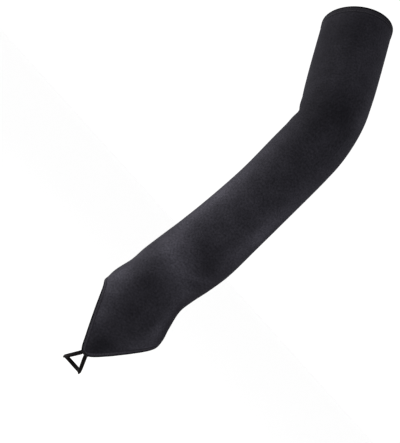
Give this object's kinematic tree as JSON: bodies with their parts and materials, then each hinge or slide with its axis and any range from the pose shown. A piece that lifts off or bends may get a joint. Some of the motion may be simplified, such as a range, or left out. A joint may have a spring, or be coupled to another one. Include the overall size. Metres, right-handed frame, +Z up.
{
  "type": "evening mitten",
  "caption": "Long fingerless evening mitten of black stretch satin, shaped as on a slightly bent arm, pointed over the back of the hand and held by a loop round the middle finger.",
  "frame": {"origin": "middle of the wrist, where the arm carries the mitten", "axes": "+Z up the forearm from the wrist to the elbow, -Y to the side of the back of the hand, +X to the side of the little finger"},
  "size_m": [0.1466, 0.1243, 0.5133],
  "materials": {
    "satin": "soft sheen, very fine weave, slightly mottled",
    "hem_satin": "folded double, slightly darker, soft sheen",
    "elastic": "satin-covered flat elastic with a seam line down its middle",
    "thread": "matt twisted sewing thread"
  },
  "bodies": {
    "root": {"sleeve_hand": "satin", "sleeve_forearm": "satin", "sleeve_elbow": "satin", "sleeve_upper_arm": "satin", "top_hem": "hem_satin", "hand_hem": "hem_satin", "finger_loop": "elastic", "loop_tack": "thread"}
  },
  "joints": []
}
